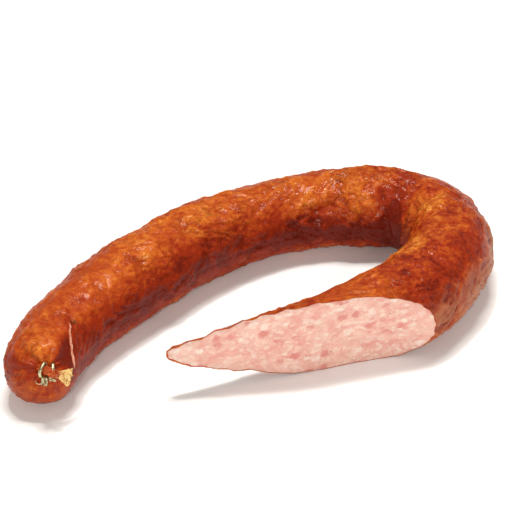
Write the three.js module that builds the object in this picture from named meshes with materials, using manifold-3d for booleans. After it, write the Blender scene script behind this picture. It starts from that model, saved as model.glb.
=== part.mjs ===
// Smoked sausage: a horseshoe of smoked sausage in its casing, tied off with two wire clips at one
// end and cut on a long slant at the other. It lies flat on z = 0, and the origin is under the
// middle of its bounding box. Millimetres, +Z up.
import * as THREE from "three";
import { mergeVertices } from "three/addons/utils/BufferGeometryUtils.js";
import Module from "manifold-3d";

// The centre line, seen from above: it starts in the middle of the clipped end's dome.
const START = { x: -109.8, y: -69.7, heading: 85 };
const LENGTH = 510;
const BEND = [-10.6, -0.7, -2.2, -4.0, -5.0, -16.8, -5.3, -1.6, -2.5, -0.8]; // degrees per 10 mm
const RADIUS = [19.4, 21.8, 21.0, 22.6, 23.8, 23.8, 22.5]; // of the casing's outside
const PRESSED = 0.9; // how far its weight presses the round underside flat

// The casing and what fills it.
const WALL = 0.9;
const GAP = 0.33; // clearance between the casing and the filling
const COLUMNS = 24;
const TUBE_ROWS = 88;
const DOME_ROWS = 6;

// The tied end: the dome's pole, where the pleats meet, is turned up and towards the ring's inside.
const POLE_TURN = 35;
const POLE_TOWARDS = 30; // from straight up, towards the inside
const PLEATS = 7;
const PLEAT_DEPTH = 0.9;
const PLEAT_SPREAD = 17; // how far the pleats run from the pole
const PUCKER_DEPTH = 1.8;
const PUCKER_SPREAD = 7;
const TIE_WALL = 2.6; // extra thickness of the gathered casing at the pole
const TIE_SPREAD = 8;

// Folds that run over the skin. `along` is the distance down the centre line, below 0 on the dome,
// and `around` is in degrees from the top towards the ring's inside. A negative depth is a crest.
const FOLDS = [
  { along: [-22, 14], around: [32, 36], width: 6, depth: -0.7 },
  { along: [14, 60], around: [36, 52], width: 7, depth: -0.6 },
  { along: [60, 140], around: [54, 62], width: 8, depth: -0.4 },
  { along: [15, -4], around: [40, 96], width: 4, depth: -0.8 },
  { along: [183, 218], around: [78, 50], width: 6, depth: 1.0 },
  { along: [249, 257], around: [34, 150], width: 6, depth: 1.3 },
  { along: [262, 284], around: [26, 112], width: 6, depth: 1.0 },
  { along: [268, 301], around: [20, 80], width: 6, depth: 0.7 },
  { along: [262, 292], around: [332, 322], width: 7, depth: 0.6 },
  { along: [296, 330], around: [306, 262], width: 7, depth: 0.6 },
];
const LUMP_COARSE = { length: 26, around: 5, height: 0.7 };
const LUMP_FINE = { length: 13, around: 10, height: 0.35 };
const SMOOTH_UNDERSIDE = 32; // degrees each side of the bottom where the relief fades out

// The knife's cut: a nearly upright plane, and the stretch of it that the blade went through.
const CUT_FACING = -79.4; // degrees, the way that the cut face looks
const CUT_LEAN = -6.3;
const CUT_POINT = new THREE.Vector3(-1.2, -57.5, 0);
const CUT_REACH = { left: -75, right: 120, bottom: -20, top: 70, depth: 90 };
const CUT_WAVE = 0.35;
const CUT_HOLLOW = { at: 70, width: 30, depth: 4.5 }; // the blade went deeper near the turn
const CUT_TIP = { at: -45, width: 5, depth: 2 }; // and turned in where it came out, at the thin tip

// The neck of gathered casing that leaves the pole through the clips, and its frayed end.
// Points: [out of the dome, to the side, up], from the pole.
const NECK = [
  [-2.0, -1.6, 1.2],
  [1.6, -2.2, 1.1],
  [4.4, -1.0, 0.8],
  [5.3, 1.6, 0.1],
  [4.8, 5.2, -1.4],
  [2.2, 9.6, -2.7],
  [-1.6, 13.8, -3.7],
];
const NECK_RADIUS = 1.6;
const FRAY_HALF_WIDTH = 4.4;
const FRAY_HALF_THICKNESS = 0.6;
const FRAY_FROM = 0.58; // share of the neck where it starts to spread

// The clips: wire loops round the neck with their ends pressed together below it. `lean` turns a
// loop to face along the side, `tilt` leans its top over, and `drop` lowers it.
const WIRE_RADIUS = 0.85;
const LOOP_HALF_HEIGHT = 4.0;
const LOOP_HALF_WIDTH = NECK_RADIUS + WIRE_RADIUS + 0.7;
const CLIPS = [
  { name: "clip_inner", share: 0.25, lean: 0.4, tilt: -8, drop: 0.6, ends: 3.2 },
  { name: "clip_outer", share: 0.43, lean: 0.1, tilt: 10, drop: 0, ends: 0.4 },
];

const rad = THREE.MathUtils.degToRad;
const UP = new THREE.Vector3(0, 0, 1);

function smooth(t) {
  const c = THREE.MathUtils.clamp(t, 0, 1);
  return c * c * (3 - 2 * c);
}

// The value at `s` of a list given at even stations from 0 to LENGTH.
function atStation(list, s) {
  const t = THREE.MathUtils.clamp((s / LENGTH) * (list.length - 1), 0, list.length - 1);
  const i = Math.min(Math.floor(t), list.length - 2);
  return THREE.MathUtils.lerp(list[i], list[i + 1], smooth(t - i));
}

// The centre line, traced in steps of 1 mm.
const line = [{ x: START.x, y: START.y, heading: rad(START.heading) }];
for (let s = 0; s < LENGTH; s++) {
  const last = line[s];
  const heading = last.heading + rad(atStation(BEND, s + 0.5)) / 10;
  const middle = (last.heading + heading) / 2;
  line.push({ x: last.x + Math.cos(middle), y: last.y + Math.sin(middle), heading });
}

// Where the centre line is at `s`, its way forward, and the way to the ring's inside.
function centre(s) {
  const t = THREE.MathUtils.clamp(s, 0, LENGTH);
  const i = Math.min(Math.floor(t), LENGTH - 1);
  const [a, b] = [line[i], line[i + 1]];
  const heading = THREE.MathUtils.lerp(a.heading, b.heading, t - i);
  const radius = atStation(RADIUS, t);
  return {
    radius,
    point: new THREE.Vector3(
      THREE.MathUtils.lerp(a.x, b.x, t - i),
      THREE.MathUtils.lerp(a.y, b.y, t - i),
      radius - PRESSED,
    ),
    forward: new THREE.Vector3(Math.cos(heading), Math.sin(heading), 0),
    inside: new THREE.Vector3(Math.sin(heading), -Math.cos(heading), 0),
  };
}

// A repeatable value from 0 to 1 for each lattice point.
function lattice(i, j) {
  const v = Math.sin(i * 127.1 + j * 311.7) * 43758.5453;
  return v - Math.floor(v);
}

// Smooth noise from -1 to 1, with `cells` of it once round the skin.
function noise(u, turn, cells) {
  const v = turn * cells;
  const [i, j] = [Math.floor(u), Math.floor(v)];
  const [fu, fv] = [smooth(u - i), smooth(v - j)];
  const corner = (di, dj) => lattice(i + di, (((j + dj) % cells) + cells) % cells);
  const low = THREE.MathUtils.lerp(corner(0, 0), corner(1, 0), fu);
  const high = THREE.MathUtils.lerp(corner(0, 1), corner(1, 1), fu);
  return 2 * THREE.MathUtils.lerp(low, high, fv) - 1;
}

// An angle in degrees, brought between -180 and 180.
function wrapped(angle) {
  return ((((angle + 180) % 360) + 360) % 360) - 180;
}

// How far a fold moves the skin in at (s, around).
function foldDepth(fold, s, around, radius) {
  const [ax, bx] = fold.along;
  const perDegree = rad(1) * radius;
  const bend = wrapped(fold.around[1] - fold.around[0]) * perDegree;
  const [px, py] = [s - ax, wrapped(around - fold.around[0]) * perDegree];
  const t = THREE.MathUtils.clamp((px * (bx - ax) + py * bend) / ((bx - ax) ** 2 + bend ** 2), 0, 1);
  const away = Math.hypot(px - t * (bx - ax), py - t * bend);
  return fold.depth * Math.exp(-((away / fold.width) ** 2));
}

// How far the skin stands out from its round form.
function relief(s, around, radius) {
  const turn = wrapped(around) / 360 + 0.5;
  let out = 0;
  for (const lump of [LUMP_COARSE, LUMP_FINE]) {
    out += lump.height * noise(s / lump.length + 40, turn, lump.around);
  }
  for (const fold of FOLDS) out -= foldDepth(fold, s, around, radius);
  const fromPole = s + (radius * Math.PI) / 2;
  out *= smooth(fromPole / PUCKER_SPREAD);
  out += PLEAT_DEPTH * Math.cos(rad(around) * PLEATS + 0.6) * Math.exp(-((fromPole / PLEAT_SPREAD) ** 2));
  out -= PUCKER_DEPTH * Math.exp(-((fromPole / PUCKER_SPREAD) ** 2));
  return out * smooth(Math.abs(wrapped(around - 180)) / SMOOTH_UNDERSIDE);
}

// The direction from the dome's middle: [out, up, to the inside], for s below 0.
function domeDirection(s, around, radius) {
  const polar = Math.PI / 2 + s / radius;
  const turned = rad(POLE_TURN) * (1 - smooth(polar / (Math.PI / 2)));
  const off = rad(around - POLE_TOWARDS);
  const across = Math.sin(polar) * Math.cos(off);
  const beside = Math.sin(polar) * Math.sin(off);
  const out = Math.cos(polar) * Math.cos(turned) - across * Math.sin(turned);
  const lifted = Math.cos(polar) * Math.sin(turned) + across * Math.cos(turned);
  const towards = rad(POLE_TOWARDS);
  return [
    out,
    lifted * Math.cos(towards) - beside * Math.sin(towards),
    lifted * Math.sin(towards) + beside * Math.cos(towards),
  ];
}

// A point of the skin, `inset` below its outside.
function skin(s, around, inset) {
  const { point, radius, forward, inside } = centre(s);
  const fromPole = s + (radius * Math.PI) / 2;
  const gathered = inset > 0 ? TIE_WALL * Math.exp(-((fromPole / TIE_SPREAD) ** 2)) : 0;
  const reach = radius + relief(s, around, radius) - inset - gathered;
  const [out, up, side] =
    s < 0 ? domeDirection(s, around, radius) : [0, Math.cos(rad(around)), Math.sin(rad(around))];
  point.addScaledVector(forward, -out * reach);
  point.addScaledVector(UP, up * reach);
  point.addScaledVector(inside, side * reach);
  point.z = Math.max(point.z, inset);
  return point;
}

// A closed mesh of `rows` rings, each with as many points, between two end points.
function closedRings(start, rows, end) {
  const count = rows[0].length;
  const points = [start, ...rows.flat(), end];
  const faces = [];
  const last = points.length - 1;
  for (let c = 0; c < count; c++) {
    const next = (c + 1) % count;
    faces.push(0, 1 + next, 1 + c);
    for (let r = 0; r < rows.length - 1; r++) {
      const [a, b] = [1 + r * count + c, 1 + r * count + next];
      faces.push(a, b, a + count, b, b + count, a + count);
    }
    const base = 1 + (rows.length - 1) * count;
    faces.push(last, base + c, base + next);
  }
  const geometry = new THREE.BufferGeometry().setFromPoints(points);
  geometry.setIndex(faces);
  return geometry;
}

// The sausage's closed form, `inset` below the outside of its casing, uncut.
function sausage(inset) {
  const quarter = (RADIUS[0] * Math.PI) / 2;
  const stops = [];
  for (let r = 1; r <= DOME_ROWS; r++) stops.push(-quarter * (1 - r / DOME_ROWS));
  for (let r = 1; r <= TUBE_ROWS; r++) stops.push((LENGTH * r) / TUBE_ROWS);
  const ring = (s) => Array.from({ length: COLUMNS }, (_, c) => skin(s, (360 * c) / COLUMNS, inset));
  return closedRings(skin(-quarter, 0, inset), stops.map(ring), centre(LENGTH).point);
}

// What the knife took away: a block whose face is the slightly wavy and hollow cut.
function cutBlock() {
  const away = new THREE.Vector3(
    Math.cos(rad(CUT_FACING)) * Math.cos(rad(CUT_LEAN)),
    Math.sin(rad(CUT_FACING)) * Math.cos(rad(CUT_LEAN)),
    Math.sin(rad(CUT_LEAN)),
  );
  const along = UP.clone().cross(away).normalize();
  const rise = away.clone().cross(along);
  const width = CUT_REACH.right - CUT_REACH.left;
  const height = CUT_REACH.top - CUT_REACH.bottom;
  const block = new THREE.BoxGeometry(width, height, CUT_REACH.depth, 30, 6, 1);
  const place = new THREE.Matrix4().makeBasis(along, rise, away);
  place.setPosition(CUT_POINT);
  const spots = block.getAttribute("position");
  const spot = new THREE.Vector3();
  for (let i = 0; i < spots.count; i++) {
    spot.fromBufferAttribute(spots, i);
    spot.x += (CUT_REACH.right + CUT_REACH.left) / 2;
    spot.y += (CUT_REACH.top + CUT_REACH.bottom) / 2;
    const onFace = spot.z < 0;
    spot.z += CUT_REACH.depth / 2;
    if (onFace) {
      spot.z += CUT_WAVE * (Math.sin(spot.x / 9) + Math.sin(spot.x / 17 + spot.y / 11));
      spot.z -= CUT_HOLLOW.depth * Math.exp(-(((spot.x - CUT_HOLLOW.at) / CUT_HOLLOW.width) ** 2));
      spot.z -= CUT_TIP.depth * smooth((CUT_TIP.at - spot.x) / CUT_TIP.width);
    }
    spots.setXYZ(i, ...spot.toArray());
  }
  return block.applyMatrix4(place);
}

// Sweeps a section along a curve. `section(share)` gives its half sizes to the side and across,
// and `ragged(c)` how far column c of the far end stands back.
function sweep(curve, steps, sides, section, firstSide, ragged = () => 0) {
  let side = firstSide.clone();
  const rows = [];
  for (let r = 0; r <= steps; r++) {
    const share = r / steps;
    const forward = curve.getTangent(share);
    side = side.addScaledVector(forward, -side.dot(forward)).normalize();
    const across = forward.clone().cross(side);
    const [halfSide, halfAcross] = section(share);
    rows.push(
      Array.from({ length: sides }, (_, c) => {
        const angle = (2 * Math.PI * c) / sides;
        return curve
          .getPoint(share)
          .addScaledVector(side, halfSide * Math.cos(angle))
          .addScaledVector(across, halfAcross * Math.sin(angle))
          .addScaledVector(forward, r === steps ? -ragged(c) : 0);
      }),
    );
  }
  return closedRings(curve.getPoint(0), rows, curve.getPoint(1));
}

// The pole's own frame: out of the dome, to the side and up.
function poleFrame() {
  const quarter = (RADIUS[0] * Math.PI) / 2;
  const { point: middle } = centre(0);
  const tip = skin(-quarter, 0, 0);
  const out = tip.clone().sub(middle).normalize();
  const side = new THREE.Vector3(1, 0, 0).addScaledVector(out, -out.x).normalize();
  return { tip, out, side, up: out.clone().cross(side) };
}

const pole = poleFrame();

function fromPole([out, side, up]) {
  return pole.tip
    .clone()
    .addScaledVector(pole.out, out)
    .addScaledVector(pole.side, side)
    .addScaledVector(pole.up, up);
}

const neckLine = new THREE.CatmullRomCurve3(NECK.map(fromPole));

// The gathered neck and the frayed fan that it ends in.
function neck() {
  const section = (share) => {
    const spread = smooth((share - FRAY_FROM) / (1 - FRAY_FROM));
    return [
      THREE.MathUtils.lerp(NECK_RADIUS, FRAY_HALF_WIDTH, spread),
      THREE.MathUtils.lerp(NECK_RADIUS, FRAY_HALF_THICKNESS, spread),
    ];
  };
  return sweep(neckLine, 14, 14, section, pole.up, (c) => (c % 2) * 1.4);
}

// One clip: a wire that goes round the neck, its two ends side by side below it.
function clip({ share, lean, tilt, drop, ends }) {
  const forward = neckLine.getTangentAt(share).lerp(pole.side, lean).normalize();
  const up = pole.up.clone().addScaledVector(forward, -pole.up.dot(forward)).normalize();
  const across = forward.clone().cross(up);
  for (const way of [forward, up]) way.applyAxisAngle(across, rad(tilt));
  const middle = neckLine.getPointAt(share).addScaledVector(up, -drop);
  const bar = LOOP_HALF_HEIGHT - LOOP_HALF_WIDTH;
  const apart = 2 * WIRE_RADIUS + 0.1;
  const spots = [
    [-0.8, -LOOP_HALF_HEIGHT - ends, 0.6 + apart],
    [-0.8, -LOOP_HALF_HEIGHT + 0.4, 0.4 + apart],
    [-LOOP_HALF_WIDTH * 0.8, -bar - 1.1, 0.7],
    [-LOOP_HALF_WIDTH, 0, 0],
    [-LOOP_HALF_WIDTH * 0.8, bar + 0.7, 0],
    [0, LOOP_HALF_HEIGHT, 0],
    [LOOP_HALF_WIDTH * 0.8, bar + 0.7, 0],
    [LOOP_HALF_WIDTH, 0, 0],
    [LOOP_HALF_WIDTH * 0.75, -bar - 1.2, -0.1],
    [-0.5, -LOOP_HALF_HEIGHT + 0.3, 0.2],
    [-0.8, -LOOP_HALF_HEIGHT - ends, 0.6],
  ];
  const wire = new THREE.CatmullRomCurve3(
    spots.map(([a, u, f]) =>
      middle.clone().addScaledVector(across, a).addScaledVector(up, u).addScaledVector(forward, f),
    ),
  );
  return sweep(wire, 26, 8, () => [WIRE_RADIUS, WIRE_RADIUS], forward);
}

const wasm = await Module();
wasm.setup();

function solid(geometry) {
  const bare = geometry.clone();
  for (const name of ["normal", "uv"]) bare.deleteAttribute(name);
  const merged = mergeVertices(bare, 1e-4);
  const vertProperties = new Float32Array(merged.getAttribute("position").array);
  const triVerts = new Uint32Array(merged.index.array);
  return new wasm.Manifold(new wasm.Mesh({ numProp: 3, vertProperties, triVerts }));
}

function geometryOf(made) {
  const mesh = made.getMesh();
  const geometry = new THREE.BufferGeometry();
  geometry.setAttribute("position", new THREE.BufferAttribute(mesh.vertProperties, 3));
  geometry.setIndex(new THREE.BufferAttribute(mesh.triVerts, 1));
  return geometry;
}

const knife = solid(cutBlock());
const casing = solid(sausage(0)).subtract(solid(sausage(WALL))).subtract(knife).add(solid(neck()));
const filling = solid(sausage(WALL + GAP)).subtract(knife);

const LOOKS = {
  casing: { color: 0xa4501f, roughness: 0.35, metalness: 0 },
  filling: { color: 0xe9b0a4, roughness: 0.55, metalness: 0 },
  clip: { color: 0xc9c9c6, roughness: 0.3, metalness: 1 },
};

function piece(name, geometry, look) {
  const flat = geometry.toNonIndexed();
  flat.computeVertexNormals();
  const made = new THREE.Mesh(flat, new THREE.MeshStandardMaterial(look));
  made.name = name;
  return made;
}

const part = new THREE.Group();
part.add(piece("casing", geometryOf(casing), LOOKS.casing));
part.add(piece("filling", geometryOf(filling), LOOKS.filling));
for (const one of CLIPS) part.add(piece(one.name, clip(one), LOOKS.clip));

export default part;
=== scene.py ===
"""Smoked sausage: the looks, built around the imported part.

The skin, the cut face, the tied neck and the wire clips come from the same formulas as the part's
source, at a finer spacing and with wrinkles, ribs and grain added. Formulas are in millimetres,
and the meshes are made in metres.
"""

import math

import bpy
import numpy as np
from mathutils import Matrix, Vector
from mathutils.geometry import delaunay_2d_cdt


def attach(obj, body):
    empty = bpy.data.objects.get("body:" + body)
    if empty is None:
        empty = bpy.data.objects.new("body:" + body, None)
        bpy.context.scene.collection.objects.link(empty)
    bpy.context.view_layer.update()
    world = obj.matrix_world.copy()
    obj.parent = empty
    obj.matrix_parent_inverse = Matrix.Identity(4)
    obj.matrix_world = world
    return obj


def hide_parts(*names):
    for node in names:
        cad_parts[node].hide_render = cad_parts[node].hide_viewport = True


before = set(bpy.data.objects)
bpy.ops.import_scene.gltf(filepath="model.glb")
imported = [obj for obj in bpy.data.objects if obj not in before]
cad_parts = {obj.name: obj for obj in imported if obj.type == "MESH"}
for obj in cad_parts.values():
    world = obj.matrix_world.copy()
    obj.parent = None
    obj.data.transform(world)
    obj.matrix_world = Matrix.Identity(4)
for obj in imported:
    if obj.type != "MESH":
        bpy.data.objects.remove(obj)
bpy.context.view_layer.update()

MM = 0.001

# -------- values of the part's source
START_X, START_Y, START_HEADING = -109.8, -69.7, 85
LENGTH = 510  # of the centre line
# Degrees that it turns in 10 mm, and the tube's radius, both at even steps along it.
BEND = [-10.6, -0.7, -2.2, -4.0, -5.0, -16.8, -5.3, -1.6, -2.5, -0.8]
RADIUS = [19.4, 21.8, 21.0, 22.6, 23.8, 23.8, 22.5]
PRESSED = 0.9  # how far the ground flattens the underside
POLE_TURN = 35  # how far the dome's pole is turned, and towards which side
POLE_TOWARDS = 30
PLEATS = 7
PLEAT_PHASE = 0.6
PLEAT_DEPTH = 0.9
PLEAT_SPREAD = 17
PUCKER_DEPTH = 1.8
PUCKER_SPREAD = 7
FOLDS = [
    # along from, to, around from, to, width, depth
    (-22, 14, 32, 36, 6, -0.7),
    (14, 60, 36, 52, 7, -0.6),
    (60, 140, 54, 62, 8, -0.4),
    (15, -4, 40, 96, 4, -0.8),
    (183, 218, 78, 50, 6, 1.0),
    (249, 257, 34, 150, 6, 1.3),
    (262, 284, 26, 112, 6, 1.0),
    (268, 301, 20, 80, 6, 0.7),
    (262, 292, 332, 322, 7, 0.6),
    (296, 330, 306, 262, 7, 0.6),
]
LUMPS = [(26, 5, 0.7), (13, 10, 0.35)]  # length, number around, height
LUMPS_FROM = 40  # the place in the noise where the sausage begins
SMOOTH_UNDERSIDE = 32  # degrees to each side of the lowest line
CUT_FACING = math.radians(-79.4)
CUT_LEAN = math.radians(-6.3)
CUT_POINT = np.array([-1.2, -57.5, 0.0])
CUT_WAVE = 0.35
HOLLOW_AT, HOLLOW_WIDTH, HOLLOW_DEPTH = 70, 30, 4.5
TIP_AT, TIP_WIDTH, TIP_DEPTH = -45, 5, 2
NECK = [
    # out of the pole, to the side, up
    (-2.0, -1.6, 1.2),
    (1.6, -2.2, 1.1),
    (4.4, -1.0, 0.8),
    (5.3, 1.6, 0.1),
    (4.8, 5.2, -1.4),
    (2.2, 9.6, -2.7),
    (-1.6, 13.8, -3.7),
]
NECK_RADIUS = 1.6
FRAY_HALF_WIDTH = 4.4
FRAY_HALF_THICKNESS = 0.6
FRAY_FROM = 0.58
WIRE_RADIUS = 0.85
LOOP_HALF_HEIGHT = 4.0
LOOP_HALF_WIDTH = NECK_RADIUS + WIRE_RADIUS + 0.7
CLIPS = {
    # share of the neck, lean, tilt, drop, length of the pressed ends
    "clip_inner": (0.25, 0.4, -8, 0.6, 3.2),
    "clip_outer": (0.43, 0.1, 10, 0, 0.4),
}

QUARTER = RADIUS[0] * math.pi / 2  # from the pole to where the tube begins


def smooth(t):
    c = np.clip(t, 0, 1)
    return c * c * (3 - 2 * c)


def mix(a, b, t):
    return a + (b - a) * t


def bell(t):
    return np.exp(-(t**2))


def unit(v):
    return v / np.linalg.norm(v)


def square_to(forward, v):
    """The unit vector nearest to v that stands square to forward."""
    return unit(v - forward * (v @ forward))


def cos_sin(degrees=0):
    return math.cos(math.radians(degrees)), math.sin(math.radians(degrees))


def circle(count):
    return np.arange(count) * 2 * math.pi / count


def at_station(values, s):
    """A list of values given at even steps along the centre line, read at distances s."""
    v = np.asarray(values, float)
    t = np.clip(np.asarray(s, float) / LENGTH * (len(v) - 1), 0, len(v) - 1)
    i = np.minimum(t.astype(int), len(v) - 2)
    return mix(v[i], v[i + 1], smooth(t - i))


def traced_line():
    """The centre line in steps of 1 mm: x, y and heading."""
    heading = math.radians(START_HEADING)
    rows = [(START_X, START_Y, heading)]
    for turn in np.radians(at_station(BEND, np.arange(LENGTH) + 0.5)) / 10:
        x, y, _ = rows[-1]
        middle = heading + turn / 2
        heading += turn
        rows.append((x + math.cos(middle), y + math.sin(middle), heading))
    return np.array(rows)


LINE = traced_line()


def centre(s):
    """Radius, middle, way forward and way to the ring's inside, at distances s."""
    t = np.clip(s, 0, LENGTH)
    radius = at_station(RADIUS, t)
    x, y, heading = (np.interp(t, np.arange(LENGTH + 1), values) for values in LINE.T)
    middle = np.stack([x, y, radius - PRESSED], -1)
    forward = np.stack([np.cos(heading), np.sin(heading), 0 * heading], -1)
    inside = np.stack([np.sin(heading), -np.cos(heading), 0 * heading], -1)
    return radius, middle, forward, inside


def lattice(i, j):
    """A fixed value from 0 to 1 for each corner of a grid."""
    v = np.sin(i * 127.1 + j * 311.7) * 43758.5453
    return v - np.floor(v)


def lump_noise(u, turn, cells):
    """Noise from -1 to 1 that closes on itself after one turn around the tube."""
    v = turn * cells
    i, j = np.floor(u), np.floor(v)
    fu, fv = smooth(u - i), smooth(v - j)
    low, high = (mix(lattice(i, row % cells), lattice(i + 1, row % cells), fu) for row in (j, j + 1))
    return 2 * mix(low, high, fv) - 1


def wrapped(angle):
    return np.mod(angle + 180, 360) - 180


def distance_from_pole(s, radius):
    return s + radius * math.pi / 2


def off_underside(around):
    """0 on the lowest line, 1 beyond the underside."""
    return smooth(np.abs(wrapped(around - 180)) / SMOOTH_UNDERSIDE)


def line_distance(s, around, radius, begin, end, first, last):
    """Distance on the skin from the stretch between two places, and the share of its length."""
    per_degree = math.pi / 180 * radius
    run = end - begin
    bend = wrapped(last - first) * per_degree
    px, py = s - begin, wrapped(around - first) * per_degree
    t = np.clip((px * run + py * bend) / (run**2 + bend**2), 0, 1)
    return np.hypot(px - t * run, py - t * bend), t


def main_relief(s, around, radius):
    """The relief that the part's source has too."""
    turn = wrapped(around) / 360 + 0.5
    out = 0
    for length, cells, height in LUMPS:
        out = out + height * lump_noise(s / length + LUMPS_FROM, turn, cells)
    for *ends, width, depth in FOLDS:
        away, _ = line_distance(s, around, radius, *ends)
        out = out - depth * bell(away / width)
    from_pole = distance_from_pole(s, radius)
    out = out * smooth(from_pole / PUCKER_SPREAD)
    pleats = np.cos(np.radians(around) * PLEATS + PLEAT_PHASE)
    out = out + PLEAT_DEPTH * pleats * bell(from_pole / PLEAT_SPREAD)
    out = out - PUCKER_DEPTH * bell(from_pole / PUCKER_SPREAD)
    return out * off_underside(around)


def dome_direction(s, around, radius):
    """Out, up and to the inside, on the dome, whose pole is turned to one side."""
    polar = math.pi / 2 + s / radius
    turned = math.radians(POLE_TURN) * (1 - smooth(polar / (math.pi / 2)))
    off = np.radians(around - POLE_TOWARDS)
    across, beside = np.sin(polar) * np.cos(off), np.sin(polar) * np.sin(off)
    out = np.cos(polar) * np.cos(turned) - across * np.sin(turned)
    lifted = np.cos(polar) * np.sin(turned) + across * np.cos(turned)
    c, d = cos_sin(POLE_TOWARDS)
    return out, lifted * c - beside * d, lifted * d + beside * c


def direction(s, around, radius):
    """Out of the dome, up, and to the inside, of the skin's place seen from the centre line."""
    out, up, side = dome_direction(np.minimum(s, 0), around, radius)
    on_tube = s >= 0
    up = np.where(on_tube, np.cos(np.radians(around)), up)
    side = np.where(on_tube, np.sin(np.radians(around)), side)
    return np.where(on_tube, 0, out), up, side


# -------- noise for the finer forms
SIGNS = (1.0, -1.0)
GRADIENTS = np.array([np.insert((a, b), k, 0) for k in (2, 1, 0) for a in SIGNS for b in SIGNS])
NOISE_GAIN = 1.4


def gradient_noise(p, seed):
    """Smooth noise, about -1 to 1, at points given in cells."""
    cell = np.floor(p).astype(np.int64)
    f = p - cell
    w = f * f * f * (f * (f * 6 - 15) + 10)
    total = np.zeros(p.shape[:-1])
    for corner in np.ndindex(2, 2, 2):
        i, j, k = (cell[..., a] + corner[a] for a in range(3))
        h = (i * 374761393 + j * 668265263 + k * 2147483647 + seed * 1274126177) & 0xFFFFFFFF
        h = ((h ^ (h >> 13)) * 1274126177) & 0xFFFFFFFF
        gradient = GRADIENTS[(h ^ (h >> 16)) % 12]
        share = np.prod([w[..., a] if corner[a] else 1 - w[..., a] for a in range(3)], axis=0)
        total += share * np.sum(gradient * (f - np.array(corner)), axis=-1)
    return total * NOISE_GAIN


def ridged(n, sharp):
    """1 along the lines where the noise crosses zero, falling to 0 beside them."""
    return bell(1.7 * n * sharp)


def crests(p, cell, seed, sharp):
    return ridged(gradient_noise(p / cell, seed), sharp)


def wander(p, cell, apart, seed):
    """Three noises at each point, to shift it by."""
    return np.stack([gradient_noise(p / cell + apart * k, seed + k) for k in range(3)], -1)


ROLL_RADIUS = 22.0


def roll(s, around, radius, twist=0.0):
    """The skin's place on an even straight roll, so that noise meets itself underneath."""
    out, up, side = direction(s, around, radius)
    c, d = np.cos(twist * s), np.sin(twist * s)
    turned_up, turned_side = up * c - side * d, up * d + side * c
    along = np.maximum(s, 0) - out * ROLL_RADIUS
    return np.stack([along, turned_up * ROLL_RADIUS, turned_side * ROLL_RADIUS], -1)


def patches(spots, s, around, radius):
    """The sum of soft spots: along, around, half length, half width, amount, degrees turned."""
    total = 0
    for along, angle, half_length, half_width, amount, *turned in spots:
        px = s - along
        py = wrapped(around - angle) * math.pi / 180 * radius
        c, d = cos_sin(*turned)
        u, v = (px * c + py * d) / half_length, (py * c - px * d) / half_width
        total = total + amount * np.exp(-(u * u + v * v))
    return total


# Where the casing is more wrinkled than elsewhere, or below 0 less, as for patches().
WRINKLED = [
    (395, 20, 32, 16, -0.3),
    (60, 20, 40, 14, -0.3),
    (30, 75, 30, 14, -0.35),
    (300, 265, 60, 18, 0.3),
    (365, 262, 50, 18, -0.15),
    (235, 355, 40, 16, 0.35),
    (200, 60, 30, 14, 0.25),
    (385, 325, 18, 12, 0.5),
]

# Sharp folds: along from, to, around from, to, width, height. Below 0 they go in.
SHARP_FOLDS = [
    (183, 199, 77, 62, 2.0, -1.3),
    (199, 218, 62, 50, 2.0, -1.1),
    (180, 197, 84, 70, 1.7, 0.6),
    (205, 232, 70, 58, 1.8, 0.45),
    (246, 253, 30, 76, 3.0, -0.8),
    (253, 256, 76, 140, 3.0, -0.7),
    (256, 268, 26, 70, 2.6, -0.6),
    (266, 281, 22, 84, 2.4, -0.6),
    (250, 262, 44, 104, 1.6, 0.45),
    (262, 276, 36, 92, 1.6, 0.45),
    (205, 262, 96, 104, 1.8, -0.7),
    (150, 215, 92, 98, 1.5, -0.6),
    (95, 165, 88, 95, 1.5, -0.45),
    (34, 92, 74, 84, 1.4, -0.5),
    (52, 104, 84, 92, 1.3, -0.45),
    (20, 60, 92, 96, 1.3, -0.4),
    (-20, 17, 30, 34, 1.9, 0.9),
    (17, 52, 35, 46, 1.8, 0.45),
    (417, 424, 272, 284, 1.6, -1.3),
    (366, 384, 318, 350, 1.5, 0.7),
    (372, 392, 312, 345, 1.5, 0.7),
    (378, 399, 306, 340, 1.5, 0.6),
    (262, 330, 268, 262, 2.0, 0.6),
    (300, 372, 258, 250, 2.0, 0.6),
    (330, 404, 250, 246, 2.0, 0.6),
    (345, 420, 238, 236, 2.0, 0.5),
    (140, 200, 346, 352, 2.2, 0.35),
    (214, 262, 350, 340, 2.2, 0.4),
    (100, 150, 8, 2, 2.2, 0.3),
]

# Broad dents and swells, as for patches(), in millimetres.
DENTS = [
    (-7, 48, 13, 5.5, -1.7),
    (372, 266, 12, 11, -1.6),
    (20, 60, 22, 8, -0.7),
    (196, 80, 14, 6, -0.9, -25),
    (258, 66, 9, 22, -1.0),
    (225, 30, 12, 9, 0.6),
]


def folds_relief(*at):
    """The casing's own dents and folds."""
    out = patches(DENTS, *at)
    for *ends, width, height in SHARP_FOLDS:
        away, t = line_distance(*at, *ends)
        fade = smooth(np.minimum(t, 1 - t) * 6 + 0.15)
        out = out + height * fade * np.exp(-np.abs(away / width) ** 1.5)
    return out


# The casing's wrinkles: size of a noise cell in millimetres, seed, and how narrow the crests are.
COARSE = (12.5, 1, 2.6)
MIDDLE = (6.6, 2, 2.5)
FINE = (3.9, 3, 2.2)
OBLIQUE = (np.array([19.0, 5.2, 5.2]), 4, 2.5)
COUNTER = (np.array([24.0, 4.6, 4.6]), 5, 2.5)
# Radians in 1 mm by which the long wrinkles run round the tube, one way and the other.
OBLIQUE_TWIST, COUNTER_TWIST = 0.03, -0.022


def wrinkling(*at):
    """How strongly the casing is wrinkled at each place."""
    uneven = gradient_noise(roll(*at) / 27, 7)
    return np.clip(0.85 + 0.6 * uneven + patches(WRINKLED, *at), 0.18, 1.7)


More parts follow.
